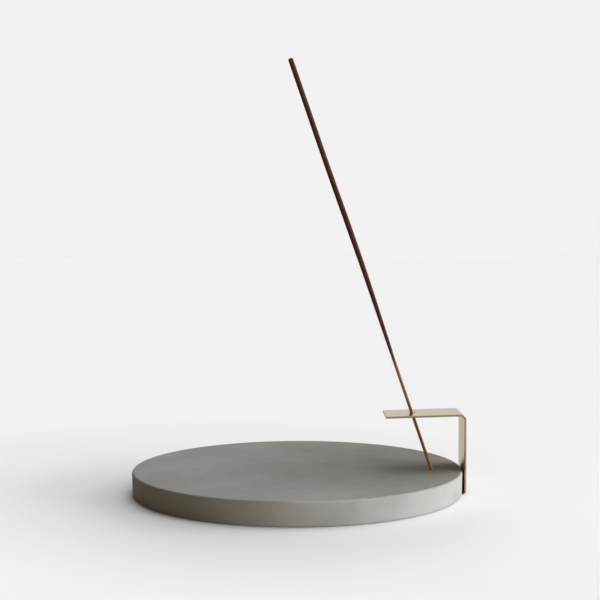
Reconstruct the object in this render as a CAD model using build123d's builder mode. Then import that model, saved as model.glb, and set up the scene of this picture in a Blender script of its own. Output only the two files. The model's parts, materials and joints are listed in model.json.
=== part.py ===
from build123d import *

import os
from math import cos, radians, sin, sqrt, tan

# Incense stick holder: a cast concrete disc, a brass clip hooked on its edge and one incense stick.
# Millimetres and degrees, +Z up. The origin is the middle of the felt's underside, on the table.
# The clip stands on the +X side, and its tab reaches back over the disc towards the middle.

# Concrete disc. The draft narrows the cast side towards the table.
disc_diameter = 150.0
disc_thickness = 10.4
disc_draft = 1.3
disc_top_round = 0.9
disc_bottom_round = 0.4

# Felt sheet, let into a pocket under the disc.
felt_thickness = 1.5
felt_proud = 0.2
felt_margin = 10.0
felt_gap = 0.25

# Brass clip, one strip bent twice. Each bend radius is that of the inside of the bend.
strip_thickness = 0.9
strip_width = 22.0
lower_bend_radius = 0.9
upper_bend_radius = 2.0
clip_height = 36.2
tab_reach = 36.3
tab_droop = 1.55
leg_reach = 34.0
leg_lift = 0.1
corner_round = 0.6
hole_setback = 22.4

# Incense stick: a bamboo core with a rolled coat that thins out above the bare foot.
core_diameter = 1.44
coat_diameter = 2.66
stick_length = 219.0
stick_lean_in = 18.05
stick_lean_aside = 22.0
bare_length = 57.0
coat_taper_length = 60.0
coat_taper_middle_share = 0.61
coat_lip = 0.06
coat_cap = 1.2
coat_end_round = 0.9
core_chamfer = 0.15

# Clearances where one piece seats on, in or beside another.
rim_clearance = 0.1
slot_clearance = 0.3
leg_headroom = 0.4
notch_clearance = 1.0
hole_play = 0.6
stick_rest_gap = 0.05
foot_rest_gap = 0.05

# Overrun of every cut past the face that it opens.
cut_overrun = 4.0


# Heights and radii of the disc and its felt
disc_bottom_z = felt_proud
disc_top_z = disc_bottom_z + disc_thickness
disc_radius = disc_diameter / 2
disc_foot_radius = disc_radius - disc_thickness * tan(radians(disc_draft))
felt_radius = disc_radius - felt_margin
felt_pocket_radius = felt_radius + felt_gap

# The clip's outer corners, its leg's tip, and the slot that takes the leg
back_inner_x = disc_radius + rim_clearance
back_outer_x = back_inner_x + strip_thickness
leg_tip_x = back_outer_x - leg_reach
slot_inner_x = leg_tip_x - slot_clearance
slot_outer_x = disc_radius + cut_overrun
slot_width = strip_width + 2 * slot_clearance
slot_top_z = leg_lift + strip_thickness + leg_headroom
notch_inner_x = leg_tip_x - notch_clearance
notch_width = strip_width + 2 * notch_clearance

# The tab slopes down from the upper outer corner towards its tip
droop = radians(tab_droop)
tab_corner = Vector(back_outer_x, 0, clip_height)
tab_along = Vector(-cos(droop), 0, -sin(droop))
tab_normal = Vector(-sin(droop), 0, cos(droop))
tab_tip = tab_corner + tab_along * tab_reach
hole_centre = tab_corner + tab_along * (strip_thickness + hole_setback)
hole_radius = core_diameter / 2 + hole_play

# The stick leans in over the disc and aside, rests on the hole's upper edge and stands on the disc
core_radius = core_diameter / 2
coat_radius = coat_diameter / 2
lean_axis = Vector(-tan(radians(stick_lean_in)), tan(radians(stick_lean_aside)), 1).normalized()
lean_on_tab = lean_axis.dot(tab_normal)
lean_along_tab = (lean_axis - tab_normal * lean_on_tab).normalized()
seat_shift = hole_radius - core_radius / lean_on_tab - stick_rest_gap
stick_seat = hole_centre + lean_along_tab * seat_shift
foot_z = disc_top_z + foot_rest_gap + core_radius * sqrt(1 - lean_axis.Z**2)
stick_foot = stick_seat - lean_axis * ((stick_seat.Z - foot_z) / lean_axis.Z)
stick_side = lean_axis.cross(Vector(0, 1, 0)).normalized()
core_length = stick_length - coat_cap
coat_taper_top = bare_length + coat_taper_length
coat_taper_middle = bare_length + coat_taper_length / 2
coat_lip_radius = core_radius + coat_lip
coat_middle_radius = coat_lip_radius + (coat_radius - coat_lip_radius) * coat_taper_middle_share


# Concrete disc: one turned profile with the felt's pocket, then the clip's slot
with BuildPart() as concrete_disc:
    with BuildSketch(Plane.XZ):
        with BuildLine():
            Polyline(
                (0, disc_bottom_z + felt_thickness - felt_proud),
                (felt_pocket_radius, disc_bottom_z + felt_thickness - felt_proud),
                (felt_pocket_radius, disc_bottom_z),
                (disc_foot_radius, disc_bottom_z),
                (disc_radius, disc_top_z),
                (0, disc_top_z),
                close=True,
            )
        make_face()
    revolve(axis=Axis.Z)
    rims = concrete_disc.edges().filter_by(GeomType.CIRCLE)
    fillet(rims.group_by(Axis.Z)[-1], radius=disc_top_round)
    rims = concrete_disc.edges().filter_by(GeomType.CIRCLE)
    fillet(rims.group_by(Axis.Z)[0].sort_by(SortBy.RADIUS)[-1], radius=disc_bottom_round)
    with BuildSketch(Plane.XY.offset(disc_bottom_z)):
        with Locations(((slot_inner_x + slot_outer_x) / 2, 0)):
            Rectangle(slot_outer_x - slot_inner_x, slot_width)
    extrude(amount=slot_top_z - disc_bottom_z, mode=Mode.SUBTRACT)

# Felt sheet, notched round the clip's leg
with BuildPart() as felt_base:
    with BuildSketch():
        Circle(felt_radius)
        with Locations(((notch_inner_x + disc_radius) / 2, 0)):
            Rectangle(disc_radius - notch_inner_x, notch_width, mode=Mode.SUBTRACT)
    extrude(amount=felt_thickness)

# Brass clip: the strip's outer line is drawn with its bends, thickened inwards and given its width
with BuildPart() as brass_clip:
    with BuildSketch(Plane.XZ):
        with BuildLine():
            FilletPolyline(
                (leg_tip_x, leg_lift),
                (back_outer_x, leg_lift),
                (tab_corner.X, tab_corner.Z),
                (tab_tip.X, tab_tip.Z),
                radius=(lower_bend_radius + strip_thickness, upper_bend_radius + strip_thickness),
            )
            offset(amount=strip_thickness, side=Side.LEFT)
        make_face()
    extrude(amount=strip_width / 2, both=True)
    tips = brass_clip.faces().sort_by(Axis.X)[:2]
    fillet(tips.edges().filter_by(Axis.Y, reverse=True), radius=corner_round)
    with Locations(Plane(origin=hole_centre, x_dir=tab_along, z_dir=tab_normal)):
        Hole(radius=hole_radius, depth=strip_thickness + cut_overrun)

# Bamboo core, cut square, with the edge of its bare foot taken off
with BuildPart() as bamboo_core:
    with BuildSketch(Plane(origin=stick_foot, z_dir=lean_axis)):
        Circle(core_radius)
    extrude(amount=core_length)
    chamfer(bamboo_core.edges().filter_by(GeomType.CIRCLE).sort_by(Axis.Z)[0], length=core_chamfer)

# Incense coat, turned about the stick's own axis: a thin lip, a taper of two cones and a rounded top
with BuildPart() as incense_coat:
    with BuildSketch(Plane(origin=stick_foot, x_dir=stick_side, z_dir=stick_side.cross(lean_axis))):
        with BuildLine():
            side = Polyline(
                (core_radius, bare_length),
                (coat_lip_radius, bare_length),
                (coat_middle_radius, coat_taper_middle),
                (coat_radius, coat_taper_top),
                (coat_radius, stick_length - coat_end_round),
            )
            top = RadiusArc(side @ 1, (coat_radius - coat_end_round, stick_length), -coat_end_round)
            Polyline(
                top @ 1,
                (0, stick_length),
                (0, core_length),
                (core_radius, core_length),
                side @ 0,
            )
        make_face()
    revolve(axis=Axis(stick_foot, lean_axis))

os.makedirs("parts", exist_ok=True)
pieces = {
    "concrete_disc": concrete_disc.part,
    "felt_base": felt_base.part,
    "brass_clip": brass_clip.part,
    "bamboo_core": bamboo_core.part,
    "incense_coat": incense_coat.part,
}
for name, piece in pieces.items():
    piece.label = name
    export_step(piece, f"parts/{name}.step")
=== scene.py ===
"""Looks of an incense stick holder: a cast concrete disc, a bent brass clip and one incense stick.

Everything is in metres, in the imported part's own frame: the origin lies on the table under the disc's
middle, +Z is up, and the clip stands on the +X side.
"""

import json
import logging
import math
from dataclasses import dataclass
from enum import Enum
from typing import Any, Sequence

import bmesh
import bpy
import numpy as np
from mathutils import Matrix, Vector


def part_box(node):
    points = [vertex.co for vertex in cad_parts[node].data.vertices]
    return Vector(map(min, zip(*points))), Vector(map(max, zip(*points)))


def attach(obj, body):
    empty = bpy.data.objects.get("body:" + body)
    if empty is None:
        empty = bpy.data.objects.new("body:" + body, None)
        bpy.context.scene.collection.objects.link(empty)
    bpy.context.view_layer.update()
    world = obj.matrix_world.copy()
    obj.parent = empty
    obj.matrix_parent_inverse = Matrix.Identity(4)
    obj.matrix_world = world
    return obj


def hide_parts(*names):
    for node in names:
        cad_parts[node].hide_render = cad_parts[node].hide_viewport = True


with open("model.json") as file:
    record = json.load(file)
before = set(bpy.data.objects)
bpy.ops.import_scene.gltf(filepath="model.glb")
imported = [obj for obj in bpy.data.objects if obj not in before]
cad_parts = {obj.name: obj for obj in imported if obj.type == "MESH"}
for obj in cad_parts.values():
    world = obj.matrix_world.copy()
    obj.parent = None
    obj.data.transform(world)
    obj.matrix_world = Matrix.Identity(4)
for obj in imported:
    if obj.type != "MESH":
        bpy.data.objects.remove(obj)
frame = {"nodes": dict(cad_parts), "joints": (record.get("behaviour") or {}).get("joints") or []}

Colour = tuple[float, float, float]
Place = tuple[float, float, float]
Span = tuple[float, float]
Socket = bpy.types.NodeSocket

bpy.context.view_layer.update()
IMAGE_SIDE = 600.0
SENSOR_WIDTH = 36.0
WELD = 1e-7
ROW_DIGITS = 9
QUARTER = math.pi / 2.0
CUT_MARK = "cut_edge"
UV_NAME = "lay"
ORIGIN: Place = (0.0, 0.0, 0.0)
WHITE: Colour = (1.0, 1.0, 1.0)
FULL: Span = (0.0, 1.0)
TURNED: Span = (1.0, 0.0)
NOISE_SPAN: Span = (0.3, 0.7)
PIT_WALL: Span = (0.12, 0.34)
MIX_COLOURS = (6, 7)
MIX_RESULT = 2
BROAD_SCALE = 0.25
HAIR_SCALE = 1.0

log = logging.getLogger("incense_holder")


class Body(Enum):
    """Bodies that move apart."""

    BASE = "base"
    CLIP = "clip"
    STICK = "stick"


class Node(Enum):
    """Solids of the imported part."""

    DISC = "concrete_disc"
    FELT = "felt_base"
    CLIP = "brass_clip"
    CORE = "bamboo_core"
    COAT = "incense_coat"


class Slot(Enum):
    """Material slots of the record."""

    CONCRETE = "concrete"
    FELT = "felt"
    BRASS = "brass"
    BAMBOO = "bamboo"
    INCENSE = "incense"


class Seed(Enum):
    """Starts of the chance numbers, one for each uneven surface."""

    LUMPS = 3
    GRIT = 4
    NAP = 5
    TEETH = 8
    GROOVES = 11


# Grid surfaces


@dataclass(frozen=True)
class Patch:
    """A surface on a grid of two parameters.

    Attributes:
        points: places of shape (rows, columns, 3), in metres.
        lay: the UV of each point, of shape (rows, columns, 2), in metres along and across the surface.
        cut: how far each point belongs to a cut edge, from 0 to 1, of shape (rows, columns).
        keep: which faces stay, of shape (rows - 1, columns - 1).
    """

    points: np.ndarray
    lay: np.ndarray
    cut: np.ndarray | None = None
    keep: np.ndarray | None = None

    def quads(self) -> np.ndarray:
        """Corner numbers of the faces that stay.

        Returns:
            Array of shape (faces, 4): each grid cell's four corners in order round it.
        """
        rows, columns = self.points.shape[:2]
        number = np.arange(rows * columns).reshape(rows, columns)
        corners = np.stack([number[:-1, :-1], number[:-1, 1:], number[1:, 1:], number[1:, :-1]], axis=-1)
        if self.keep is None:
            return corners.reshape(-1, 4)
        return corners[self.keep]

    def marks(self) -> np.ndarray:
        """Cut edge share of each point, nothing where the patch has none."""
        return np.zeros(self.points.shape[:2]) if self.cut is None else self.cut


def piece_from(name: str, patches: Sequence[Patch]) -> bpy.types.Object:
    """Joins patches into one smooth mesh and closes it where their points meet.

    Args:
        name: name of the new object.
        patches: the surfaces; points that lie on each other are merged, and faces then point outwards.

    Returns:
        The new object, at the origin, linked to the scene.
    """
    starts = np.cumsum([0] + [patch.marks().size for patch in patches[:-1]])
    quads = np.concatenate([patch.quads() + start for patch, start in zip(patches, starts)])
    used, numbers = np.unique(quads, return_inverse=True)
    quads = numbers.reshape(quads.shape)
    points = np.concatenate([patch.points.reshape(-1, 3) for patch in patches])[used]
    lay = np.concatenate([patch.lay.reshape(-1, 2) for patch in patches])[used]
    marks = np.concatenate([patch.marks().ravel() for patch in patches])[used]
    mesh = bpy.data.meshes.new(name)
    mesh.from_pydata(points, [], quads)
    layer = mesh.uv_layers.new(name=UV_NAME)
    layer.uv.foreach_set("vector", lay[quads.ravel()].astype(np.float32).ravel())
    mark = mesh.attributes.new(CUT_MARK, "FLOAT", "POINT")
    mark.data.foreach_set("value", marks.astype(np.float32))
    work = bmesh.new()
    work.from_mesh(mesh)
    bmesh.ops.remove_doubles(work, verts=work.verts, dist=WELD)
    bmesh.ops.recalc_face_normals(work, faces=work.faces)
    work.to_mesh(mesh)
    work.free()
    mesh.polygons.foreach_set("use_smooth", np.ones(len(mesh.polygons), dtype=bool))
    mesh.update()
    piece = bpy.data.objects.new(name, mesh)
    bpy.context.scene.collection.objects.link(piece)
    return piece


def soft_field(rows: int, columns: int, blur: Span, seed: Seed, contrast: float = 0.8) -> np.ndarray:
    """Smooth chance heights on a grid that closes on itself both ways.

    White noise is blurred by a bell curve, as a product in the Fourier plane, and then spread over 0 to 1.

    Args:
        rows: number of rows.
        columns: number of columns.
        blur: width of the bell curve in rows and in columns.
        seed: start of the chance numbers.
        contrast: how strongly the heights are pushed towards 0 and 1.

    Returns:
        Array of shape (rows, columns), from 0 to 1, with a mean near a half.
    """
    noise = np.random.default_rng(seed.value).standard_normal((rows, columns))
    along = np.fft.fftfreq(rows)[:, None] * blur[0]
    across = np.fft.fftfreq(columns)[None, :] * blur[1]
    bell = np.exp(-2.0 * math.pi**2 * (along**2 + across**2))
    smooth = np.fft.ifft2(np.fft.fft2(noise) * bell).real
    smooth = (smooth - smooth.mean()) / smooth.std()
    return 0.5 + 0.5 * np.tanh(contrast * smooth)


def rounding(reach: np.ndarray, radius: float) -> np.ndarray:
    """Inset of a rounded end: a quarter circle that starts at full inset and ends at none.

    Args:
        reach: distance from the end.
        radius: radius of the quarter circle.

    Returns:
        How far the side lies in from its full width, at each distance.
    """
    inside = np.clip(radius - reach, 0.0, radius)
    return radius - np.sqrt(np.maximum(radius**2 - inside**2, 0.0))


def quarter_turn(radius: float, count: int) -> tuple[np.ndarray, np.ndarray]:
    """A quarter circle in equal turns: out as the sine grows, and down as the cosine shrinks."""
    turn = QUARTER * np.linspace(0.0, 1.0, count)
    return radius * np.sin(turn), radius * (1.0 - np.cos(turn))


def cosine_steps(length: float, count: int) -> np.ndarray:
    """Distances from 0 to a length that crowd together at 0, as equal turns of a quarter circle do."""
    return length * (1.0 - np.cos(np.linspace(0.0, QUARTER, count)))


def closed_round(grid: np.ndarray) -> np.ndarray:
    """A grid with its first column once more at its end."""
    return np.concatenate([grid, grid[:, :1]], axis=1)


# Shader nodes


@dataclass
class Bench:
    """Adds nodes to one tree and links them.

    Attributes:
        tree: the node tree that is worked on.
    """

    tree: bpy.types.NodeTree

    def add(self, kind: str, inputs: dict[str | int, Any] | None = None, **settings: Any) -> bpy.types.Node:
        """Adds a node.

        Args:
            kind: the node's type without the leading ShaderNode.
            inputs: values or sockets for the node's inputs, by name or number.
            settings: properties of the node.

        Returns:
            The new node.
        """
        node = self.tree.nodes.new(kind if kind.startswith("NodeGroup") else f"ShaderNode{kind}")
        for name, value in settings.items():
            setattr(node, name, value)
        for key, value in (inputs or {}).items():
            self.feed(node.inputs[key], value)
        return node

    def feed(self, target: Socket, value: Any) -> None:
        """Links a socket to an input, or sets the input's own value.

        Args:
            target: the input.
            value: the socket or the value.
        """
        if isinstance(value, Socket):
            self.tree.links.new(value, target)
        else:
            target.default_value = value

    def math(self, operation: str, first: Any, second: Any, clamp: bool = False) -> Socket:
        """Result of one sum on two numbers."""
        node = self.add("Math", {0: first, 1: second}, operation=operation, use_clamp=clamp)
        return node.outputs[0]

    def mean(self, first: Socket, second: Socket) -> Socket:
        """Half the sum of two masks."""
        return self.math("MULTIPLY", self.math("ADD", first, second), 0.5)

    def split(self, vector: Socket) -> list[Socket]:
        """X, Y and Z of a vector."""
        return list(self.add("SeparateXYZ", {0: vector}).outputs)

    def distance(self, place: Socket, centre: Place) -> Socket:
        """Distance of a place from a fixed centre."""
        return self.add("VectorMath", {0: place, 1: centre}, operation="DISTANCE").outputs["Value"]

    def ramp(self, value: Socket, source: Span, target: Span = FULL) -> Socket:
        """Carries a value from one range to another, with soft ends.

        Args:
            value: the value.
            source: values where the change starts and where it ends.
            target: results there.

        Returns:
            The result.
        """
        places = dict(zip(("From Min", "From Max", "To Min", "To Max"), (*source, *target)))
        places["Value"] = value
        return self.add("MapRange", places, interpolation_type="SMOOTHSTEP").outputs["Result"]

    def mix(self, share: Any, first: Any, second: Any, blend: str = "MIX") -> Socket:
        """Mixes two colours.

        Args:
            share: share of the second colour.
            first: first colour, or a socket that gives it.
            second: second colour, or a socket that gives it.
            blend: how the second colour acts on the first.

        Returns:
            The mixed colour.
        """
        node = self.add("Mix", {0: share}, data_type="RGBA", blend_type=blend)
        for number, colour in zip(MIX_COLOURS, (first, second)):
            self.feed(node.inputs[number], colour if isinstance(colour, Socket) else (*colour, 1.0))
        return node.outputs[MIX_RESULT]

    def tint(self, colour: Any, tint: Any) -> Socket:
        """A colour times a tint."""
        return self.mix(1.0, colour, tint, "MULTIPLY")

    def noise(self, vector: Socket, scale: Any, detail: float, rough: float) -> Socket:
        """Cloud noise from 0 to 1."""
        places = {"Vector": vector, "Scale": scale, "Detail": detail, "Roughness": rough}
        return self.add("TexNoise", places).outputs[0]


def new_group(name: str, scales: Sequence[str], masks: Sequence[str]) -> tuple[Bench, Any, Any]:
    """Starts a shader node group that reads a vector and puts out masks.

    Args:
        name: name of the group.
        scales: names of its inputs that are numbers.
        masks: names of its outputs.

    Returns:
        The bench on its tree, what comes in and what goes out, both by name.
    """
    tree = bpy.data.node_groups.new(name, "ShaderNodeTree")
    tree.interface.new_socket("Vector", in_out="INPUT", socket_type="NodeSocketVector")
    for label in scales:
        tree.interface.new_socket(label, in_out="INPUT", socket_type="NodeSocketFloat")
    for label in masks:
        tree.interface.new_socket(label, in_out="OUTPUT", socket_type="NodeSocketFloat")
    bench = Bench(tree)
    return bench, bench.add("NodeGroupInput").outputs, bench.add("NodeGroupOutput").inputs


class Effects:
    """Shared effects, built once as node groups and placed in each material with its own values.

    Attributes:
        grain: mottle of a cast, pressed or rolled mass.
        streaks: lines along a surface.
    """

    def __init__(self) -> None:
        """Builds the groups."""
        self.grain = self.build_grain()
        self.streaks = self.build_streaks()

    def build_grain(self) -> bpy.types.NodeTree:
        """Mottle of a cast, pressed or rolled mass: wide clouds, fine grain and scattered small pits.

        Returns:
            Group with a place, three scales and the pits' share as inputs, and three masks as outputs.
        """
        scales = ("Cloud scale", "Grain scale", "Pit scale", "Pit share")
        bench, given, masks = new_group("grain", scales, ("Clouds", "Grain", "Pits"))
        place = given["Vector"]
        clouds = bench.noise(place, given["Cloud scale"], detail=6.0, rough=0.6)
        grain = bench.noise(place, given["Grain scale"], detail=3.0, rough=0.7)
        cells = bench.add("TexVoronoi", {"Vector": place, "Scale": given["Pit scale"]}).outputs
        chance = bench.add("SeparateColor", {0: cells["Color"]}).outputs[0]
        chosen = bench.math("LESS_THAN", chance, given["Pit share"])
        hollow = bench.ramp(cells["Distance"], PIT_WALL, TURNED)
        bench.feed(masks["Clouds"], bench.ramp(clouds, NOISE_SPAN))
        bench.feed(masks["Grain"], bench.ramp(grain, NOISE_SPAN))
        bench.feed(masks["Pits"], bench.math("MULTIPLY", chosen, hollow))
        return bench.tree

    def build_streaks(self) -> bpy.types.NodeTree:
        """Lines along a surface, as brushing or fibres leave them, read from the lay of the piece.

        Returns:
            Group with the lay and two scales as inputs, and broad and hair lines as outputs.
        """
        bench, given, masks = new_group("streaks", ("Along", "Across"), ("Broad", "Hair"))
        length, side, _ = bench.split(given["Vector"])
        along = bench.math("MULTIPLY", length, given["Along"])
        across = bench.math("MULTIPLY", side, given["Across"])
        place = bench.add("CombineXYZ", {0: along, 1: across}).outputs[0]
        broad = bench.noise(place, BROAD_SCALE, detail=3.0, rough=0.6)
        hair = bench.noise(place, HAIR_SCALE, detail=2.0, rough=0.6)
        bench.feed(masks["Broad"], bench.ramp(broad, NOISE_SPAN))
        bench.feed(masks["Hair"], bench.ramp(hair, NOISE_SPAN))
        return bench.tree


@dataclass(frozen=True)
class GrainSizes:
    """Sizes of the shared grain on one finish.

    Attributes:
        clouds: clouds in a metre.
        grain: grains in a metre.
        pits: places for a pit in a metre.
        pit_share: share of those places that have a pit.
    """

    clouds: float
    grain: float
    pits: float
    pit_share: float


class MaterialBench(Bench):
    """A bench on a new material, with its shader ready.

    Attributes:
        material: the material.
        shader: its Principled shader.
        output: its output node.
    """

    def __init__(self, name: str) -> None:
        """Starts a material with nothing but its shader.

        Args:
            name: name of the material.
        """
        self.material = bpy.data.materials.new(name)
        self.material.use_nodes = True
        self.material.node_tree.nodes.clear()
        super().__init__(self.material.node_tree)
        self.shader = self.add("BsdfPrincipled")
        self.output = self.add("OutputMaterial", {"Surface": self.shader.outputs[0]})

    def place(self) -> Socket:
        """Place of a point in the part's frame."""
        return self.add("TexCoord").outputs["Object"]

    def lay(self) -> Socket:
        """Place of a point along and across its piece."""
        return self.add("UVMap", uv_map=UV_NAME).outputs[0]

    def grain(self, effects: Effects, sizes: GrainSizes) -> tuple[Socket, Socket, Socket]:
        """Places the shared grain.

        Args:
            effects: the shared effects.
            sizes: sizes of the grain on this finish.

        Returns:
            Masks of the clouds, the grain and the pits.
        """
        values = {
            "Vector": self.place(),
            "Cloud scale": sizes.clouds,
            "Grain scale": sizes.grain,
            "Pit scale": sizes.pits,
            "Pit share": sizes.pit_share,
        }
        masks = self.add("Group", values, node_tree=effects.grain).outputs
        return masks["Clouds"], masks["Grain"], masks["Pits"]

    def streaks(self, effects: Effects, along: float, across: float) -> tuple[Socket, Socket]:
        """Places the shared streaks.

        Args:
            effects: the shared effects.
            along: lines in a metre along the piece.
            across: lines in a metre across the piece.

        Returns:
            Masks of the broad lines and the hair lines.
        """
        values = {"Vector": self.lay(), "Along": along, "Across": across}
        masks = self.add("Group", values, node_tree=effects.streaks).outputs
        return masks["Broad"], masks["Hair"]

    def shade(self, values: dict[str, Any]) -> None:
        """Gives the shader's inputs values or sockets, by name."""
        for name, value in values.items():
            self.feed(self.shader.inputs[name], value)

    def bump(self, height: Socket, depth: float) -> None:
        """Lets a height stand out of the surface, by the depth in metres where it is 1."""
        node = self.add("Bump", {"Strength": 1.0, "Distance": depth, "Height": height})
        self.feed(self.shader.inputs["Normal"], node.outputs[0])


# Finishes


@dataclass(frozen=True)
class ConcreteFinish:
    """Smooth cast concrete, sealed matt.

    Attributes:
        pale: colour of the lighter clouds.
        dark: colour of the darker clouds.
        speck: tint of the fine grain.
        speck_share: share of that tint where there is no grain and where it is full.
        pit: darker colour inside the small air holes, a painted shade.
        clip_shade: painted shadow of the clip and its tab on the top, slightly warm like the light that the
            brass throws back.
        clip_shade_place: middle of the painted shadow.
        clip_shade_reach: distances from there where the painted shadow starts to fade and where it ends.
        clip_shade_level: heights between which the painted shadow sets in, so that it keeps to the top.
        sizes: sizes of the clouds, the grain and the air holes.
        grain_depth: depth of the grain.
        pit_depth: depth of the air holes, in depths of the grain.
        rough: roughness where there is no grain and where it is full.
        specular: level of the plain reflection.
    """

    pale: Colour = (0.288, 0.284, 0.271)
    dark: Colour = (0.249, 0.245, 0.234)
    speck: Colour = (0.82, 0.82, 0.82)
    speck_share: Span = (0.0, 0.35)
    pit: Colour = (0.190, 0.183, 0.170)
    clip_shade: Colour = (0.840, 0.820, 0.785)
    clip_shade_place: Place = (0.0460, 0.0080, 0.0106)
    clip_shade_reach: Span = (0.028, 0.086)
    clip_shade_level: Span = (0.0096, 0.0105)
    sizes: GrainSizes = GrainSizes(clouds=45.0, grain=2600.0, pits=900.0, pit_share=0.006)
    grain_depth: float = 0.00002
    pit_depth: float = 2.0
    rough: Span = (0.68, 0.84)
    specular: float = 0.01

    def material(self, effects: Effects) -> bpy.types.Material:
        """Builds the material: clouded grey with fine grain and a few air holes.

        Args:
            effects: the shared effects.

        Returns:
            The material.
        """
        bench = MaterialBench(Slot.CONCRETE.value)
        place = bench.place()
        clouds, grain, pits = bench.grain(effects, self.sizes)
        clouded = bench.mix(clouds, self.dark, self.pale)
        speck = bench.mix(bench.ramp(grain, FULL, self.speck_share), WHITE, self.speck)
        grained = bench.tint(clouded, speck)
        # Painted shadow of the clip and its tab on the disc's top, slightly warm like light thrown back by
        # the brass.
        near = bench.ramp(bench.distance(place, self.clip_shade_place), self.clip_shade_reach, TURNED)
        high = bench.ramp(bench.split(place)[2], self.clip_shade_level)
        clip_shade_share = bench.math("MULTIPLY", near, high)
        clip_shaded = bench.mix(clip_shade_share, grained, bench.tint(grained, self.clip_shade))
        sunk = bench.math("MULTIPLY", pits, self.pit_depth)
        # The air holes are painted darker inside: painted shade, since the holes are only a bump.
        bench.shade(
            {
                "Base Color": bench.mix(pits, clip_shaded, self.pit),
                "Roughness": bench.ramp(grain, FULL, self.rough),
                "Specular IOR Level": self.specular,
            }
        )
        bench.bump(bench.math("SUBTRACT", grain, sunk), self.grain_depth)
        return bench.material


@dataclass(frozen=True)
class BrassFinish:
    """Brass sheet brushed along its length, a little duller on its cut edges.

    Attributes:
        bright: colour of the brushed faces.
        dull: colour between the brush lines.
        edge: colour of the cut edges.
        leg_shade: painted shade on the leg, which stays under the disc, and on the start of the lower bend.
        leg_shade_turn: distances along the strip where the painted shade starts to fade and where it ends.
        rim: tint of the faces at a flat angle.
        along: lines in a metre along the strip.
        across: lines in a metre across the strip.
        line_depth: depth of the brush lines.
        rough: roughness between the broad lines and on them.
        cut_rough: roughness that a cut edge has on top of that.
    """

    bright: Colour = (0.800, 0.680, 0.460)
    dull: Colour = (0.700, 0.570, 0.360)
    edge: Colour = (0.520, 0.400, 0.250)
    leg_shade: Colour = (0.085, 0.058, 0.030)
    leg_shade_turn: Span = (0.0334, 0.0352)
    rim: Colour = (0.738, 0.738, 0.735)
    along: float = 40.0
    across: float = 5000.0
    line_depth: float = 0.0000025
    rough: Span = (0.08, 0.13)
    cut_rough: float = 0.15

    def material(self, effects: Effects) -> bpy.types.Material:
        """Builds the material: fine lines along the strip in colour, gloss and height.

        Args:
            effects: the shared effects.

        Returns:
            The material.
        """
        bench = MaterialBench(Slot.BRASS.value)
        broad, hair = bench.streaks(effects, self.along, self.across)
        cut = bench.add("Attribute", attribute_name=CUT_MARK).outputs["Fac"]
        brushed = bench.mix(hair, self.dull, self.bright)
        polished = bench.mix(cut, brushed, self.edge)
        # The leg and the start of the lower bend are painted nearly black: painted shade under the disc.
        unshaded_share = bench.ramp(bench.split(bench.lay())[0], self.leg_shade_turn)
        dulled = bench.math("MULTIPLY", cut, self.cut_rough)
        bench.shade(
            {
                "Base Color": bench.mix(unshaded_share, self.leg_shade, polished),
                "Roughness": bench.math("ADD", bench.ramp(broad, FULL, self.rough), dulled),
                "Metallic": 1.0,
                "Specular Tint": (*self.rim, 1.0),
            }
        )
        bench.bump(hair, self.line_depth)
        return bench.material


@dataclass(frozen=True)
class BambooFinish:
    """Dry split bamboo, tinted a little by the paste.

    Attributes:
        pale: colour of the lighter fibres.
        dark: colour of the darker fibres.
        paste: tint that the paste leaves just below the coat.
        paste_turn: distances from the foot where the paste's tint sets in and where it is full.
        along: fibres in a metre along the stick.
        across: fibres in a metre round the stick.
        fibre_depth: depth of the fibres.
        rough: roughness of the darker and of the lighter fibres.
        specular: level of the plain reflection.
    """

    pale: Colour = (0.305, 0.130, 0.045)
    dark: Colour = (0.122, 0.046, 0.013)
    paste: Colour = (0.320, 0.330, 0.330)
    paste_turn: Span = (0.0485, 0.057)
    along: float = 90.0
    across: float = 9000.0
    fibre_depth: float = 0.00003
    rough: Span = (0.75, 0.55)
    specular: float = 0.3

    def material(self, effects: Effects) -> bpy.types.Material:
        """Builds the material: fibres along the stick in colour and height.

        Args:
            effects: the shared effects.

        Returns:
            The material.
        """
        bench = MaterialBench(Slot.BAMBOO.value)
        fibres = bench.mean(*bench.streaks(effects, self.along, self.across))
        clean = bench.mix(fibres, self.dark, self.pale)
        pasted_share = bench.ramp(bench.split(bench.lay())[0], self.paste_turn)
        bench.shade(
            {
                "Base Color": bench.mix(pasted_share, clean, bench.tint(clean, self.paste)),
                "Roughness": bench.ramp(fibres, FULL, self.rough),
                "Specular IOR Level": self.specular,
            }
        )
        bench.bump(fibres, self.fibre_depth)
        return bench.material


@dataclass(frozen=True)
class IncenseFinish:
    """Rolled incense paste: dark, dry and grainy.

    Attributes:
        pale: colour of the dusty grains.
        dark: colour of the paste.
        speck: colour of the coarse bits of wood powder.
        sizes: sizes of the clouds, the grain and the coarse bits.
        grain_depth: depth of the grain.
        rough: roughness where there is no grain and where it is full.
        specular: level of the plain reflection.
    """

    pale: Colour = (0.082, 0.031, 0.020)
    dark: Colour = (0.036, 0.012, 0.007)
    speck: Colour = (0.150, 0.068, 0.038)
    sizes: GrainSizes = GrainSizes(clouds=350.0, grain=5200.0, pits=2600.0, pit_share=0.10)
    grain_depth: float = 0.00006
    rough: Span = (0.95, 0.8)
    specular: float = 0.25

    def material(self, effects: Effects) -> bpy.types.Material:
        """Builds the material: dusty dark grains with a few paler bits.

        Args:
            effects: the shared effects.

        Returns:
            The material.
        """
        bench = MaterialBench(Slot.INCENSE.value)
        clouds, grain, bits = bench.grain(effects, self.sizes)
        dusty = bench.mix(bench.mean(clouds, grain), self.dark, self.pale)
        bench.shade(
            {
                "Base Color": bench.mix(bits, dusty, self.speck),
                "Roughness": bench.ramp(grain, FULL, self.rough),
                "Specular IOR Level": self.specular,
            }
        )
        bench.bump(grain, self.grain_depth)
        return bench.material


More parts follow.
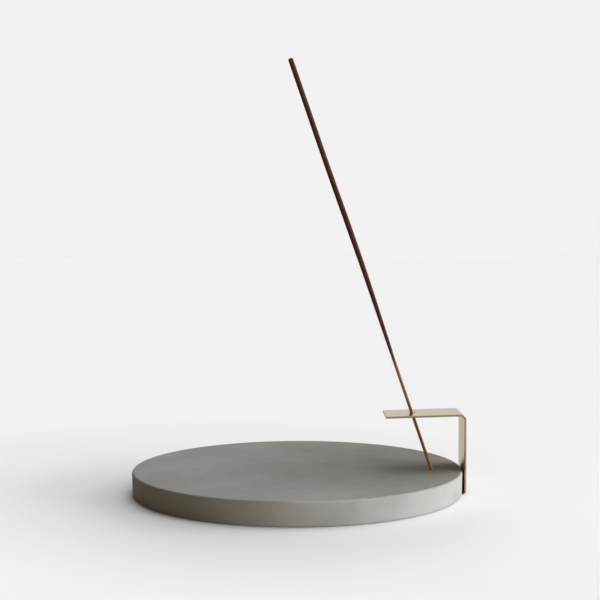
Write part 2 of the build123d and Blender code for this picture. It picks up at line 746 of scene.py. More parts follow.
@dataclass(frozen=True)
class FeltFinish:
    """Pressed dark grey felt.

    Attributes:
        pale: colour of the fibres that stand out.
        dark: colour between them.
        sizes: sizes of the clouds, the fibres and the tufts.
        fibre_depth: depth of the fibres.
        tuft_height: height of the tufts over the fibres, in depths of the fibres.
        rough: roughness between the fibres and on them.
        specular: level of the plain reflection.
        sheen: weight of the dusty sheen.
        sheen_rough: roughness of the sheen.
    """

    pale: Colour = (0.085, 0.083, 0.080)
    dark: Colour = (0.030, 0.029, 0.028)
    sizes: GrainSizes = GrainSizes(clouds=220.0, grain=2400.0, pits=900.0, pit_share=0.25)
    fibre_depth: float = 0.00018
    tuft_height: float = 0.3
    rough: Span = (1.0, 0.9)
    specular: float = 0.1
    sheen: float = 0.3
    sheen_rough: float = 0.6

    def material(self, effects: Effects) -> bpy.types.Material:
        """Builds the material: tangled fibres with soft tufts and a dusty sheen.

        Args:
            effects: the shared effects.

        Returns:
            The material.
        """
        bench = MaterialBench(Slot.FELT.value)
        clouds, fibres, tufts = bench.grain(effects, self.sizes)
        raised = bench.math("MULTIPLY", tufts, self.tuft_height)
        tangle = bench.math("ADD", bench.mean(clouds, fibres), raised, clamp=True)
        bench.shade(
            {
                "Base Color": bench.mix(tangle, self.dark, self.pale),
                "Roughness": bench.ramp(tangle, FULL, self.rough),
                "Specular IOR Level": self.specular,
                "Sheen Weight": self.sheen,
                "Sheen Roughness": self.sheen_rough,
            }
        )
        bench.bump(tangle, self.fibre_depth)
        return bench.material


# Sub-assemblies


def settle(piece: bpy.types.Object, node: Node, body: Body, material: bpy.types.Material) -> None:
    """Gives a new piece its finish and its body, and hides the solid that it stands for.

    Args:
        piece: the new piece.
        node: the solid that it stands for.
        body: the body that it moves with.
        material: its finish.
    """
    piece.data.materials.append(material)
    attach(piece, body.value)
    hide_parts(node.value)
    log.info("%s: %d faces", piece.name, len(piece.data.polygons))


@dataclass
class Disc:
    """The concrete disc, which keeps its solid's own shape.

    Attributes:
        finish: the concrete.
    """

    finish: ConcreteFinish = ConcreteFinish()

    def dress(self, effects: Effects) -> None:
        """Puts the concrete on the solid.

        Args:
            effects: the shared effects.
        """
        solid = frame["nodes"][Node.DISC.value]
        solid.data.materials.clear()
        solid.data.materials.append(self.finish.material(effects))
        log.info("%s: dressed", solid.name)


@dataclass
class Felt:
    """The felt sheet under the disc, cut out round the clip's leg.

    Attributes:
        radius: outer radius of the cut sheet.
        thickness: thickness of the felt.
        notch_reach: distance of the notch's inner edge from the middle.
        notch_width: width of the notch.
        edge_round: rounding of the pressed edges.
        nap: how far the fibres make the upper face uneven.
        nap_blur: width of the nap's bumps, in grid lines.
        nap_fade: width of the sheet below which the nap fades, in edge roundings.
        wall_share: share of the notch's edge that each of its side walls takes.
        round_steps: points on the rounding of an edge.
        inner_steps: points from the outer edge to the notch's edge.
        outline_steps: points along each edge.
        finish: the felt.
    """

    radius: float = 0.0650
    thickness: float = 0.0015
    notch_reach: float = 0.0410
    notch_width: float = 0.0240
    edge_round: float = 0.00025
    nap: float = 0.00005
    nap_blur: Span = (1.5, 1.5)
    nap_fade: float = 4.0
    wall_share: float = 0.12
    round_steps: int = 5
    inner_steps: int = 41
    outline_steps: int = 241
    finish: FeltFinish = FeltFinish()

    def outline(self, share: np.ndarray) -> tuple[np.ndarray, np.ndarray]:
        """Outer edge and notch edge of the cut, run through side by side.

        The outer edge is an arc from one mouth corner of the notch, round the back, to the other. The notch's
        edge goes from the same corner in along one wall, across its inner end and out along the other wall.

        Args:
            share: how far along each edge, from 0 to 1.

        Returns:
            Points of the outer edge and of the notch's edge, each of shape (n, 2).
        """
        half = self.notch_width / 2.0
        mouth = math.asin(half / self.radius)
        mouth_x = self.radius * math.cos(mouth)
        turn = mouth + share * 2.0 * (math.pi - mouth)
        outer = self.radius * np.stack([np.cos(turn), np.sin(turn)], axis=-1)
        stops = [0.0, self.wall_share, 1.0 - self.wall_share, 1.0]
        inner_x = np.interp(share, stops, [mouth_x, self.notch_reach, self.notch_reach, mouth_x])
        inner_y = np.interp(share, stops, [half, half, -half, -half])
        return outer, np.stack([inner_x, inner_y], axis=-1)

    def build(self) -> bpy.types.Object:
        """Builds the sheet: straight lines between the two edges, with rounded rims and an uneven nap.

        On each line the points are drawn in from both ends by the rim's rounding, and the upper and the lower
        face part by the thickness less that rounding.

        Returns:
            The sheet as a closed mesh.
        """
        out, down = quarter_turn(self.edge_round, self.round_steps)
        rim = np.zeros(self.round_steps - 1)
        inset = (self.edge_round - out)[1:]
        level = np.zeros(self.inner_steps)
        run = np.concatenate([rim, np.linspace(0.0, 1.0, self.inner_steps), rim + 1.0])
        shift = np.concatenate([inset[::-1], level + self.edge_round, inset])
        drop = np.concatenate([down[:0:-1], level, down[1:]])
        outer, inner = self.outline(np.linspace(0.0, 1.0, self.outline_steps))
        gap = np.linalg.norm(inner - outer, axis=-1)[:, None]
        towards = (inner - outer) / np.maximum(gap, WELD)
        pull = np.where(run < 0.5, shift, -shift)
        reach = run * gap + np.clip(pull, -gap / 2.0, gap / 2.0)
        flat = outer[:, None, :] + towards[:, None, :] * reach[..., None]
        nap = self.nap * soft_field(*reach.shape, self.nap_blur, Seed.NAP)
        faded = nap * np.clip(gap / self.edge_round / self.nap_fade, 0.0, 1.0) * (drop == 0.0)
        heights = (self.thickness - drop - faded, np.broadcast_to(drop, reach.shape))
        upper, lower = (np.concatenate([flat, height[..., None]], axis=-1) for height in heights)
        loop = closed_round(np.concatenate([upper, lower[:, ::-1]], axis=1))
        return piece_from("felt_sheet", [Patch(loop, loop[..., :2])])

    def dress(self, effects: Effects) -> None:
        """Args:
            effects: the shared effects.
        """
        piece = self.build()
        settle(piece, Node.FELT, Body.BASE, self.finish.material(effects))


@dataclass
class BrassClip:
    """One strip of brass, bent twice, with the stick's hole in its tab.

    Attributes:
        thickness: thickness of the sheet.
        width: width of the strip.
        bends: radius of the outside of the lower and of the upper bend.
        droop: slope of the tab, in degrees.
        leg_reach: length of the leg from the strip's back.
        tab_reach: length of the tab from the upper corner.
        hole_reach: distance of the hole from the upper corner.
        hole_radius: radius of the hole.
        tip_round: rounding of the tips' corners.
        edge_round: rounding of every edge by the finishing.
        collar: half the side of the square of surface round the hole.
        collar_slack: factor on the collar within which a grid line counts as on it.
        collar_guard: factor on the collar within which the tips' rounding moves no grid line.
        face_shift: distance across the lay for each distance into the sheet, which parts the faces' lines.
        run_steps: rows on each straight run.
        bend_steps: rows in each bend.
        tip_steps: rows on the rounding of a tip's corner.
        round_steps: points on the rounding of an edge.
        side_steps: points from the collar to the edge.
        collar_steps: grid cells along each side of the collar.
        ring_steps: rings from the collar's square to the hole's rounding.
        finish: the brass.
    """

    thickness: float = 0.0009
    width: float = 0.0220
    bends: Span = (0.0018, 0.0029)
    droop: float = 1.55
    leg_reach: float = 0.0340
    tab_reach: float = 0.0363
    hole_reach: float = 0.0233
    hole_radius: float = 0.00132
    tip_round: float = 0.0006
    edge_round: float = 0.00036
    collar: float = 0.0030
    collar_slack: float = 1.0001
    collar_guard: float = 1.2
    face_shift: float = 40.0
    run_steps: int = 12
    bend_steps: int = 24
    tip_steps: int = 9
    round_steps: int = 5
    side_steps: int = 7
    collar_steps: int = 16
    ring_steps: int = 8
    finish: BrassFinish = BrassFinish()

    def __post_init__(self) -> None:
        """Works out the strip's outer line from the solid's box: three straight runs joined by two arcs."""
        low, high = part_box(Node.CLIP.value)
        turns = (QUARTER, QUARTER + math.radians(self.droop))
        cuts = [bend * math.tan(turn / 2.0) for bend, turn in zip(self.bends, turns)]
        arcs = [bend * turn for bend, turn in zip(self.bends, turns)]
        back = high.z - low.z - sum(self.bends)
        lengths = np.array([self.leg_reach - cuts[0], arcs[0], back, arcs[1], self.tab_reach - cuts[1]])
        self.stops = np.concatenate([[0.0], np.cumsum(lengths)])
        self.curves = np.array([0.0, 1.0 / self.bends[0], 0.0, 1.0 / self.bends[1], 0.0])
        self.headings = np.array([0.0, 0.0, turns[0], turns[0], turns[0] + turns[1]])
        moves = self.advance(lengths, self.curves, self.headings)
        self.starts = np.cumsum([(high.x - self.leg_reach, low.z), *moves[:-1]], axis=0)
        self.hole_place = self.stops[4] + self.hole_reach - cuts[1]

    @staticmethod
    def advance(past: np.ndarray, curve: np.ndarray, heading: np.ndarray) -> np.ndarray:
        """Movement at a steady curvature, straight along the heading where that is zero.

        On an arc a point moves by the change of the heading's sine and cosine, times the radius.

        Args:
            past: distances.
            curve: curvature over each distance.
            heading: heading at the start of each distance, from +X towards +Z.

        Returns:
            Movements in X and Z, of shape (n, 2).
        """
        end = heading + past * curve
        line = past[:, None] * np.stack([np.cos(heading), np.sin(heading)], axis=-1)
        swing = np.stack([np.sin(end) - np.sin(heading), np.cos(heading) - np.cos(end)], axis=-1)
        straight = (curve == 0.0)[:, None]
        return np.where(straight, line, swing / np.where(straight, 1.0, curve[:, None]))

    def outer_line(self, along: np.ndarray) -> tuple[np.ndarray, np.ndarray]:
        """Places on the strip's outer line and the directions into the sheet.

        A point is the start of its run or arc, moved on by what is left of its distance.

        Args:
            along: distances along the line from the leg's tip.

        Returns:
            Places and inward directions, each of shape (n, 2) in X and Z.
        """
        part = np.clip(np.searchsorted(self.stops, along, side="right") - 1, 0, len(self.curves) - 1)
        past = along - self.stops[part]
        place = self.starts[part] + self.advance(past, self.curves[part], self.headings[part])
        heading = self.headings[part] + past * self.curves[part]
        return place, np.stack([-np.sin(heading), np.cos(heading)], axis=-1)

    def rows(self) -> np.ndarray:
        """Distances along the strip at which its section is drawn, closer in the bends, tips and collar.

        Returns:
            The distances from the leg's tip, in order.
        """
        steps = (self.run_steps, self.bend_steps, self.run_steps, self.bend_steps, self.run_steps)
        pairs = zip(self.stops, self.stops[1:], steps)
        plain = np.concatenate([np.linspace(start, stop, count) for start, stop, count in pairs])
        plain = plain[np.abs(plain - self.hole_place) > self.collar]
        rounds = ((self.edge_round, self.round_steps), (self.tip_round, self.tip_steps))
        tip = np.concatenate([cosine_steps(radius, count) for radius, count in rounds])
        collar = self.hole_place + np.linspace(-self.collar, self.collar, self.collar_steps + 1)
        return np.unique(np.round(np.concatenate([tip, self.stops[-1] - tip, plain, collar]), ROW_DIGITS))

    def section(self) -> tuple[np.ndarray, np.ndarray]:
        """The strip's section, once round: a rectangle whose corners are quarter circles.

        Returns:
            Distances across the strip and depths in the sheet, the last point like the first.
        """
        half = self.width / 2.0 - self.edge_round
        middle = np.linspace(-self.collar, self.collar, self.collar_steps + 1)
        side = np.linspace(self.collar, half, self.side_steps)[1:]
        flat = np.concatenate([-side[::-1], middle, side])
        out, down = quarter_turn(self.edge_round, self.round_steps)
        across = np.concatenate([flat, half + out, half + out[::-1]])
        depth = np.concatenate([np.zeros_like(flat), down, self.thickness - down[::-1]])
        across = np.concatenate([across, -across, across[:1]])
        return across, np.concatenate([depth, self.thickness - depth, depth[:1]])

    def strip(self) -> Patch:
        """The strip: its section carried along the outer line, narrowed and thinned at its tips.

        A point is its row's place on the outer line, plus its depth times the direction into the sheet, with
        its distance across the strip as Y. Near the tips both are scaled down by a quarter circle.

        Returns:
            The patch, closed round the section and at both tips, open round the hole.
        """
        along = self.rows()
        place, inward = self.outer_line(along)
        reach = np.minimum(along, self.stops[-1] - along)
        inset = rounding(reach, self.edge_round)
        across, depth = self.section()
        half = self.width / 2.0
        narrowed = (half - rounding(reach, self.tip_round) - inset) / half
        free = np.abs(across) > self.collar * self.collar_guard
        wide = np.where(free, across * narrowed[:, None], across)
        middle = self.thickness / 2.0
        deep = middle + (depth - middle) * (1.0 - inset / middle)[:, None]
        tips = ((1, 1), (0, 0))
        place, inward, wide = (np.pad(grid, tips, mode="edge") for grid in (place, inward, wide))
        along, inset = (np.pad(row, 1, mode="edge") for row in (along, inset))
        deep = np.pad(deep, tips, constant_values=middle)
        points = self.spot(place[:, None], inward[:, None], deep, wide)
        lay = np.stack(np.broadcast_arrays(along[:, None], wide + self.face_shift * deep), axis=-1)
        edge = np.clip((np.abs(across) - (half - self.edge_round)) / self.edge_round, 0.0, 1.0)
        cut = np.clip(edge + (inset > 0.0)[:, None], 0.0, 1.0)
        limit = self.collar * self.collar_slack
        row_in = np.abs(along - self.hole_place) < limit
        column_in = (np.abs(across) < limit) & ((depth == 0.0) | (depth == self.thickness))
        open_faces = (row_in[:-1] & row_in[1:])[:, None] & (column_in[:-1] & column_in[1:])
        return Patch(points, lay, cut, ~open_faces)

    @staticmethod
    def spot(place: np.ndarray, inward: np.ndarray, depth: np.ndarray, across: np.ndarray) -> np.ndarray:
        """Points at a depth in the sheet and a distance across the strip."""
        flat = place + inward * depth[..., None]
        return np.stack([flat[..., 0], across, flat[..., 1]], axis=-1)

    def hole(self) -> Patch:
        """The surface round and in the hole.

        It starts on a square on the outer face, draws in to a circle, rounds over into the hole's wall, and
        comes out to the same square on the inner face.

        Returns:
            The patch, which meets the strip at both squares.
        """
        side = np.linspace(-self.collar, self.collar, self.collar_steps + 1)[:-1]
        far = np.full_like(side, self.collar)
        sides = ((side, -far), (far, side), (-side, far), (-far, -side))
        square = np.concatenate([np.stack(pair, axis=-1) for pair in sides])
        square = np.concatenate([square, square[:1]])
        ray = square / np.linalg.norm(square, axis=-1, keepdims=True)
        out, down = quarter_turn(self.edge_round, self.round_steps)
        ring = self.hole_radius + self.edge_round
        share = np.linspace(0.0, 1.0, self.ring_steps)[:, None, None]
        top = square * (1.0 - share) + ray * (ring * share)
        lip = ray * (ring - out)[:, None, None]
        spots = np.concatenate([top, lip[1:], lip[::-1], top[::-1][1:]])
        upper = np.concatenate([np.zeros(self.ring_steps), down[1:]])
        lower = np.concatenate([self.thickness - down[::-1], np.full(self.ring_steps - 1, self.thickness)])
        deep = np.broadcast_to(np.concatenate([upper, lower])[:, None], spots.shape[:2])
        along = self.hole_place + spots[..., 0]
        place, inward = (line.reshape(spots.shape) for line in self.outer_line(along.ravel()))
        points = self.spot(place, inward, deep, spots[..., 1])
        lay = np.stack([along, spots[..., 1] + self.face_shift * deep], axis=-1)
        inside = (deep > 0.0) & (deep < self.thickness)
        return Patch(points, lay, inside.astype(float))

    def dress(self, effects: Effects) -> None:
        """Builds the clip and brushes it.

        Args:
            effects: the shared effects.
        """
        piece = piece_from("clip_strip", [self.strip(), self.hole()])
        settle(piece, Node.CLIP, Body.CLIP, self.finish.material(effects))


@dataclass
class Stick:
    """The incense stick: a bamboo core and its rolled coat.

    Attributes:
        core_radius: radius of the bamboo.
        core_length: length of the bamboo.
        coat_radius: radius of the full coat.
        length: length of the whole stick.
        bare: length of the bare foot.
        taper: length over which the coat thins out.
        taper_middle_share: share of the coat's growth that is reached halfway along the taper.
        bow: how far the bamboo bends off its straight line.
        bow_span: distances along the stick between which it bends.
        lip: thickness of the coat at its lower end.
        end_round: rounding of the top.
        chamfer: the edge taken off the foot.
        fibre_share: depth of the grooves between the fibres, as a share of the radius.
        groove_blur: length and width of the grooves, in grid lines.
        ragged: how far the coat's lower edge goes up and down.
        ragged_fade: distance over which that evens out, in times of it.
        teeth_blur: width of the lower edge's teeth, in grid lines.
        lump: height of the coat's lumps.
        lump_blur: length and width of the lumps, in grid lines.
        grit_blur: length and width of the finer grit on them, in grid lines.
        grit_share: share of the unevenness that is grit.
        thin_share: share of the unevenness where the coat is thinnest.
        sunk_share: radius of the coat's closed lower end inside the bamboo, as a share of the bamboo's.
        core_grid: rows up to the coat's full width and columns of the core.
        coat_grid: rows and columns of the coat.
        end_steps: rows on the rounding of the top.
        bamboo: finish of the core.
        incense: finish of the coat.
    """

    core_radius: float = 0.00072
    core_length: float = 0.2178
    coat_radius: float = 0.00133
    length: float = 0.2190
    bare: float = 0.0570
    taper: float = 0.0600
    taper_middle_share: float = 0.61
    bow: float = 0.00043
    bow_span: Span = (0.040, 0.165)
    lip: float = 0.00006
    end_round: float = 0.0009
    chamfer: float = 0.00015
    fibre_share: float = 0.05
    groove_blur: Span = (60.0, 0.9)
    ragged: float = 0.0022
    ragged_fade: float = 6.0
    teeth_blur: Span = (1.0, 1.6)
    lump: float = 0.00004
    lump_blur: Span = (9.0, 2.5)
    grit_blur: Span = (2.5, 1.0)
    grit_share: float = 0.4
    thin_share: float = 0.25
    sunk_share: float = 0.9
    core_grid: tuple[int, int] = (700, 48)
    coat_grid: tuple[int, int] = (1500, 40)
    end_steps: int = 8
    bamboo: BambooFinish = BambooFinish()
    incense: IncenseFinish = IncenseFinish()

    def __post_init__(self) -> None:
        """Works out the foot and three directions from the core's box and the joint that draws it out."""
        joint = next(joint for joint in frame["joints"] if joint["child"] == Body.STICK.value)
        self.axis = np.array(joint["axis"], float)
        self.axis /= np.linalg.norm(self.axis)
        low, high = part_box(Node.CORE.value)
        spread = self.core_radius * np.sqrt(1.0 - self.axis**2)
        top = np.where(self.axis > 0.0, np.array(high) - spread, np.array(low) + spread)
        self.foot = top - self.axis * self.core_length
        self.side = np.cross(self.axis, (0.0, 1.0, 0.0))
        self.side /= np.linalg.norm(self.side)
        self.front = np.cross(self.axis, self.side)

    def tube(self, along: np.ndarray, radius: np.ndarray) -> Patch:
        """A tube about the stick's axis.

        A point is the foot, plus its distance along the axis, plus its radius times the cosine and sine of
        its turn in the two directions across the axis. The middle line bows aside by a squared sine.

        Args:
            along: distances along the axis, of shape (rows, columns), the last column like the first.
            radius: radii, of the same shape.

        Returns:
            The patch, closed round the axis.
        """
        turn = np.linspace(0.0, 2.0 * math.pi, along.shape[1])
        out = np.cos(turn)[:, None] * self.side + np.sin(turn)[:, None] * self.front
        low, high = self.bow_span
        bent = self.bow * np.sin(math.pi * np.clip((along - low) / (high - low), 0.0, 1.0)) ** 2
        middle = self.foot + along[..., None] * self.axis - bent[..., None] * self.side
        points = middle + radius[..., None] * out[None]
        lay = np.stack(np.broadcast_arrays(along, turn * self.core_radius), axis=-1)
        return Patch(points, lay)

    def core(self) -> bpy.types.Object:
        """The bamboo: a round rod with shallow grooves between its fibres and a cut foot.

        Returns:
            The core as a closed mesh.
        """
        rows, columns = self.core_grid
        shaft = np.linspace(self.chamfer, self.bare + self.taper, rows)
        along = np.concatenate([[0.0, 0.0], shaft, [self.core_length, self.core_length]])
        plain = np.full(len(along), self.core_radius)
        plain[:2] = (0.0, self.core_radius - self.chamfer)
        plain[-1] = 0.0
        groove = closed_round(soft_field(len(along), columns, self.groove_blur, Seed.GROOVES))
        radius = plain[:, None] * (1.0 - self.fibre_share * groove)
        return piece_from("stick_core", [self.tube(np.broadcast_to(along[:, None], radius.shape), radius)])

    def profile(self, height: np.ndarray) -> np.ndarray:
        """Radius of the coat: a thin lip, a taper that swells early, a straight run and a rounded top.

        The taper grows with the height, plus a parabola that is 0 at both its ends and lifts its middle.

        Args:
            height: distance above the foot.

        Returns:
            The coat's radius.
        """
        share = np.clip((height - self.bare) / self.taper, 0.0, 1.0)
        swell = share + 4.0 * (self.taper_middle_share - 0.5) * share * (1.0 - share)
        thin = self.core_radius + self.lip
        radius = thin + (self.coat_radius - thin) * swell
        return radius - rounding(self.length - height, self.end_round)

    def coat(self) -> bpy.types.Object:
        """The rolled paste: the coat's profile with small lumps and a ragged lower edge.

        Returns:
            The coat as a closed mesh, whose lower end closes inside the bamboo.
        """
        rows, columns = self.coat_grid
        top = self.length - cosine_steps(self.end_round, self.end_steps)[::-1]
        level = np.concatenate([np.linspace(self.bare, top[0], rows)[:-1], top])
        shape = (len(level), columns)
        lumps = (1.0 - self.grit_share) * soft_field(*shape, self.lump_blur, Seed.LUMPS)
        lumps += self.grit_share * soft_field(*shape, self.grit_blur, Seed.GRIT)
        teeth = soft_field(1, columns, self.teeth_blur, Seed.TEETH) * self.ragged
        fade = np.clip(1.0 - (level - self.bare) / (self.ragged_fade * self.ragged), 0.0, 1.0)
        along = level[:, None] + fade[:, None] * teeth
        plain = self.profile(along)
        body = np.clip((plain - self.core_radius) / (self.coat_radius - self.core_radius), 0.0, 1.0)
        radius = plain - self.lump * lumps * (self.thin_share + (1.0 - self.thin_share) * body)
        pole = np.zeros((1, columns))
        radius = np.concatenate([pole, pole + self.core_radius * self.sunk_share, radius, pole])
        along = np.concatenate([pole + along[0].mean(), along[:1], along, pole + self.length])
        return piece_from("stick_coat", [self.tube(closed_round(along), closed_round(radius))])

    def dress(self, effects: Effects) -> None:
        """Builds the stick's two pieces with their finishes.

        Args:
            effects: the shared effects.
        """
        settle(self.core(), Node.CORE, Body.STICK, self.bamboo.material(effects))
        settle(self.coat(), Node.COAT, Body.STICK, self.incense.material(effects))


# Studio


@dataclass(frozen=True)
class SunLamp:
    """A broad soft light from far away.

    Attributes:
        name: name of the lamp.
        azimuth: direction that it comes from, in degrees from +X towards +Y.
        elevation: height above the table's plane, in degrees.
        spread: how wide it looks from the object, in degrees.
        strength: light on a surface that faces it, in watts per square metre.
    """

    name: str
    azimuth: float
    elevation: float
    spread: float
    strength: float

    def build(self) -> None:
        """Builds the lamp, turned to shine from its direction and hidden from shiny surfaces."""
        data = bpy.data.lights.new(self.name, "SUN")
        data.energy = self.strength
        data.angle = math.radians(self.spread)
        lamp = bpy.data.objects.new(self.name, data)
        azimuth = math.radians(self.azimuth)
        elevation = math.radians(self.elevation)
        flat = math.cos(elevation)
        source = Vector((flat * math.cos(azimuth), flat * math.sin(azimuth), math.sin(elevation)))
        lamp.rotation_mode = "QUATERNION"
        lamp.rotation_quaternion = source.to_track_quat("Z", "Y")
        lamp.visible_glossy = False
        bpy.context.scene.collection.objects.link(lamp)


@dataclass(frozen=True)
class LampRow:
    """A long low soft light, made of lamps side by side.

    Attributes:
        name: start of the lamps' names.
        first: direction that the first lamp's light comes from, in degrees from +X towards +Y.
        strengths: light of each lamp on a surface that faces it, in watts per square metre.
        step: turn from one lamp to the next, in degrees.
        elevation: height of the row above the table's plane, in degrees.
        spread: how wide each lamp looks from the object, in degrees.
    """

    name: str
    first: float
    strengths: tuple[float, ...]
    step: float = 20.0
    elevation: float = 4.0
    spread: float = 20.0

    def lamp(self, number: int) -> SunLamp:
        """One lamp of the row."""
        azimuth = self.first + number * self.step
        return SunLamp(f"{self.name}_{number}", azimuth, self.elevation, self.spread, self.strengths[number])

    def lamps(self) -> list[SunLamp]:
        """The row's lamps in their order."""
        return [self.lamp(number) for number in range(len(self.strengths))]


@dataclass
class Studio:
    """Floor, light and camera.

    Attributes:
        white: the backdrop.
        horizon_floor: the floor far off, as the camera sees it, which meets the backdrop without a line.
        far_floor: the floor a little away from the object, as the camera sees it.
        shadowed_floor: the floor close to the object as the camera sees it, darker as a painted shadow.
        floor_shadow_place: middle of the floor's painted shadow.
        floor_shadow_turn: distances from there where the floor leaves its painted shadow and reaches its far
            colour.
        horizon_turn: distances from there where it leaves its far and reaches its horizon colour.
        shade: tint of the wide faint shade round the object, as the camera sees it.
        shade_place: middle of the shade.
        shade_turn: distances from there where the shade starts to fade and where it ends.
        open_radius: radius of the floor under the object that lets light through from below.
        floor_mirrored: the floor as shiny surfaces see it.
        warm_bounce: light that the floor throws back on the object's left and front.
        cool_bounce: light that the floor throws back on the object's right.
        bounce_turn: X where the floor's light is fully warm, and X where it is fully cool.
        floor_side: side of the floor.
        floor_steps: grid lines of the floor each way.
        backdrop: light from the backdrop on matt surfaces.
        beneath: light from below on the object's underside.
        room: what shiny surfaces see in front of the object.
        room_share: share of that which lights matt surfaces.
        ceiling: what shiny surfaces see above the object.
        behind_turn: Y of a direction where the backdrop starts and where it is full.
        above_turn: Z of a direction where the ceiling starts and where it is full.
        beneath_turn: Z of a direction where the light from below starts and where it is full.
        focal_pixels: the camera's focal length in pixels of the picture.
        eye: place of the camera.
        pitch: how far it looks down, in degrees.
        roll: how far it is turned about its line of sight, in degrees.
        view_depth: nearest and farthest distance that the camera shows.
        low_rows: the low lights, which throw the long soft shadows.
        high_lamps: the lights from above.
    """

    white: Colour = (0.887, 0.887, 0.887)
    horizon_floor: Colour = (0.893, 0.893, 0.893)
    far_floor: Colour = (0.905, 0.905, 0.905)
    shadowed_floor: Colour = (0.778, 0.778, 0.778)
    floor_shadow_place: Place = (-0.0186, -0.0815, 0.0)
    floor_shadow_turn: Span = (0.0, 0.116)
    horizon_turn: Span = (0.08, 0.36)
    shade: Colour = (0.953, 0.953, 0.953)
    shade_place: Place = (-0.046, 0.040, 0.0)
    shade_turn: Span = (0.12, 0.198)
    open_radius: float = 0.0742
    floor_mirrored: Colour = (0.740, 0.715, 0.670)
    warm_bounce: Colour = (0.750, 0.610, 0.440)
    cool_bounce: Colour = (0.850, 0.870, 0.900)
    bounce_turn: Span = (-0.02, 0.07)
    floor_side: float = 12.0
    floor_steps: int = 5
    backdrop: float = 0.03
    beneath: float = 0.45
    room: Colour = (0.24, 0.22, 0.195)
    room_share: float = 0.1
    ceiling: Colour = (0.60, 0.58, 0.54)
    behind_turn: Span = (0.25, 0.75)
    above_turn: Span = (0.3, 0.9)
    beneath_turn: Span = (-0.05, -0.25)
    focal_pixels: float = 1277.8
    eye: Place = (0.00154, -0.580, 0.11767)
    pitch: float = 3.004
    roll: float = 0.2
    view_depth: Span = (0.01, 100.0)
    low_rows: tuple[LampRow, ...] = (
        LampRow("right", first=-50.0, strengths=(0.37, 3.01, 1.57, 2.57)),
        LampRow("behind", first=70.0, strengths=(0.13, 2.04, 1.04)),
    )
    high_lamps: tuple[SunLamp, ...] = (
        SunLamp("shoulder", azimuth=30.0, elevation=18.0, spread=30.0, strength=1.07),
        SunLamp("window", azimuth=15.0, elevation=50.0, spread=90.0, strength=1.22),
        SunLamp("ceiling", azimuth=0.0, elevation=80.0, spread=60.0, strength=0.56),
        SunLamp("back", azimuth=90.0, elevation=65.0, spread=40.0, strength=0.39),
    )

    def seen_floor(self, bench: Bench, place: Socket) -> Socket:
        """The floor's colour to the camera: a painted shadow close to the object, a faint painted shade round
        it, pale far off.

        Args:
            bench: the floor's bench.
            place: place of a point.

        Returns:
            The colour.
        """
        # Painted shadow close to the object and a wide faint painted shade round it, standing in for shadows
        # that the lamps leave out.
        away = bench.distance(place, self.floor_shadow_place)
        far = bench.mix(bench.ramp(away, self.horizon_turn), self.far_floor, self.horizon_floor)
        plain = bench.mix(bench.ramp(away, self.floor_shadow_turn), self.shadowed_floor, far)
        clear = bench.ramp(bench.distance(place, self.shade_place), self.shade_turn)
        return bench.mix(clear, bench.tint(plain, self.shade), plain)

    def open_floor(self, bench: Bench, place: Socket, camera_ray: Socket) -> Socket:
        """Where the floor lets a ray through: to the camera from below, to light under the object.

        Args:
            bench: the floor's bench.
            place: place of a point.
            camera_ray: 1 for a ray from the camera.

        Returns:
            1 where the ray passes.
        """
        below = bench.math("MULTIPLY", bench.add("NewGeometry").outputs["Backfacing"], camera_ray)
        under = bench.math("LESS_THAN", bench.distance(place, ORIGIN), self.open_radius)
        passed = bench.math("MULTIPLY", under, bench.math("SUBTRACT", 1.0, camera_ray))
        return bench.math("MAXIMUM", below, passed)

    def build_floor(self) -> None:
        """Builds the floor: a flat grid with its own colours for the camera, for mirrors and for light."""
        half = self.floor_side / 2.0
        edge = np.linspace(-half, half, self.floor_steps)
        across, deep = np.meshgrid(edge, edge)
        points = np.stack([across, deep, np.zeros_like(across)], axis=-1)
        floor = piece_from("floor", [Patch(points, points[..., :2])])
        bench = MaterialBench("floor")
        rays = bench.add("LightPath").outputs
        camera_ray = rays["Is Camera Ray"]
        place = bench.place()
        right = bench.ramp(bench.split(place)[0], self.bounce_turn)
        bounce = bench.mix(right, self.warm_bounce, self.cool_bounce)
        thrown = bench.mix(rays["Is Glossy Ray"], bounce, self.floor_mirrored)
        colour = bench.mix(camera_ray, thrown, self.seen_floor(bench, place))
        bench.shade({"Base Color": colour, "Roughness": 1.0, "Specular IOR Level": 0.0})
        clear = bench.add("BsdfTransparent").outputs[0]
        share = self.open_floor(bench, place, camera_ray)
        blend = bench.add("MixShader", {0: share, 1: bench.shader.outputs[0], 2: clear})
        bench.feed(bench.output.inputs["Surface"], blend.outputs[0])
        floor.data.materials.append(bench.material)

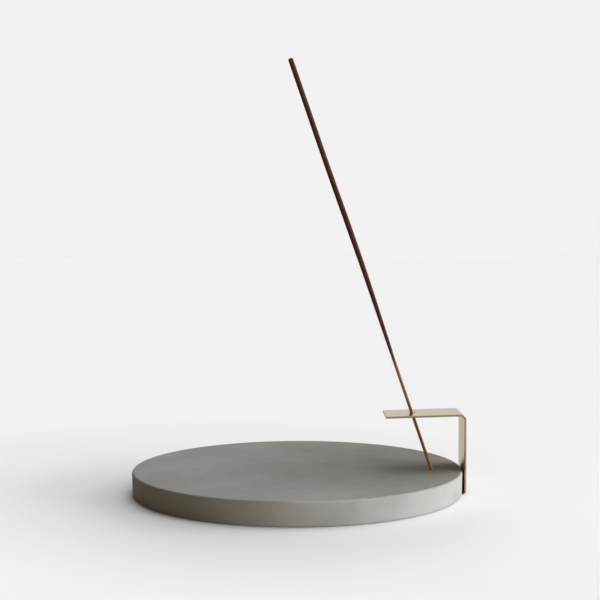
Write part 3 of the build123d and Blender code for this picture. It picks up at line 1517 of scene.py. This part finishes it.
    def build_world(self) -> None:
        """Builds the backdrop: white to the camera, white behind the object to shiny surfaces, else dim."""
        world = bpy.data.worlds.new("studio")
        world.use_nodes = True
        world.node_tree.nodes.clear()
        bench = Bench(world.node_tree)
        rays = bench.add("LightPath").outputs
        _, way_y, way_z = bench.split(bench.add("TexCoord").outputs["Generated"])
        behind = bench.ramp(way_y, self.behind_turn)
        front = bench.mix(bench.ramp(way_z, self.above_turn), self.room, self.ceiling)
        shiny = bench.mix(behind, front, self.white)
        dim_room = tuple(self.room_share * value for value in self.room)
        side = bench.mix(behind, dim_room, (self.backdrop,) * 3)
        dim = bench.mix(bench.ramp(way_z, self.beneath_turn), side, (self.beneath,) * 3)
        gloss = bench.math("ADD", rays["Is Glossy Ray"], rays["Is Transmission Ray"], clamp=True)
        colour = bench.mix(rays["Is Camera Ray"], bench.mix(gloss, dim, shiny), self.white)
        light = bench.add("Background", {"Color": colour, "Strength": 1.0})
        bench.add("OutputWorld", {"Surface": light.outputs[0]})
        world.cycles.sampling_method = "NONE"
        bpy.context.scene.world = world

    def build_camera(self) -> None:
        """Builds the camera from its place, its pitch and its roll."""
        data = bpy.data.cameras.new("camera")
        data.sensor_width = SENSOR_WIDTH
        data.lens = self.focal_pixels / IMAGE_SIDE * SENSOR_WIDTH
        data.clip_start = self.view_depth[0]
        data.clip_end = self.view_depth[1]
        camera = bpy.data.objects.new("camera", data)
        pitch = math.radians(self.pitch)
        roll = math.radians(self.roll)
        ahead = Vector((0.0, math.cos(pitch), -math.sin(pitch)))
        level_up = Vector((0.0, math.sin(pitch), math.cos(pitch)))
        level_right = Vector((1.0, 0.0, 0.0))
        right = math.cos(roll) * level_right - math.sin(roll) * level_up
        up = math.sin(roll) * level_right + math.cos(roll) * level_up
        turn = Matrix((right, up, -ahead)).transposed().to_4x4()
        camera.matrix_world = Matrix.Translation(self.eye) @ turn
        bpy.context.scene.collection.objects.link(camera)
        bpy.context.scene.camera = camera

    def build(self) -> None:
        """Builds the whole studio."""
        bpy.context.scene.view_settings.view_transform = "Standard"
        self.build_floor()
        self.build_world()
        self.build_camera()
        lamps = [lamp for row in self.low_rows for lamp in row.lamps()]
        lamps += self.high_lamps
        for lamp in lamps:
            lamp.build()
        log.info("studio: %d lamps", len(lamps))


def main() -> None:
    """Builds the studio and the part, piece by piece."""
    logging.basicConfig(level=logging.INFO, format="%(name)s %(message)s")
    effects = Effects()
    Studio().build()
    Disc().dress(effects)
    Felt().dress(effects)
    BrassClip().dress(effects)
    Stick().dress(effects)


if __name__ == "__main__":
    main()
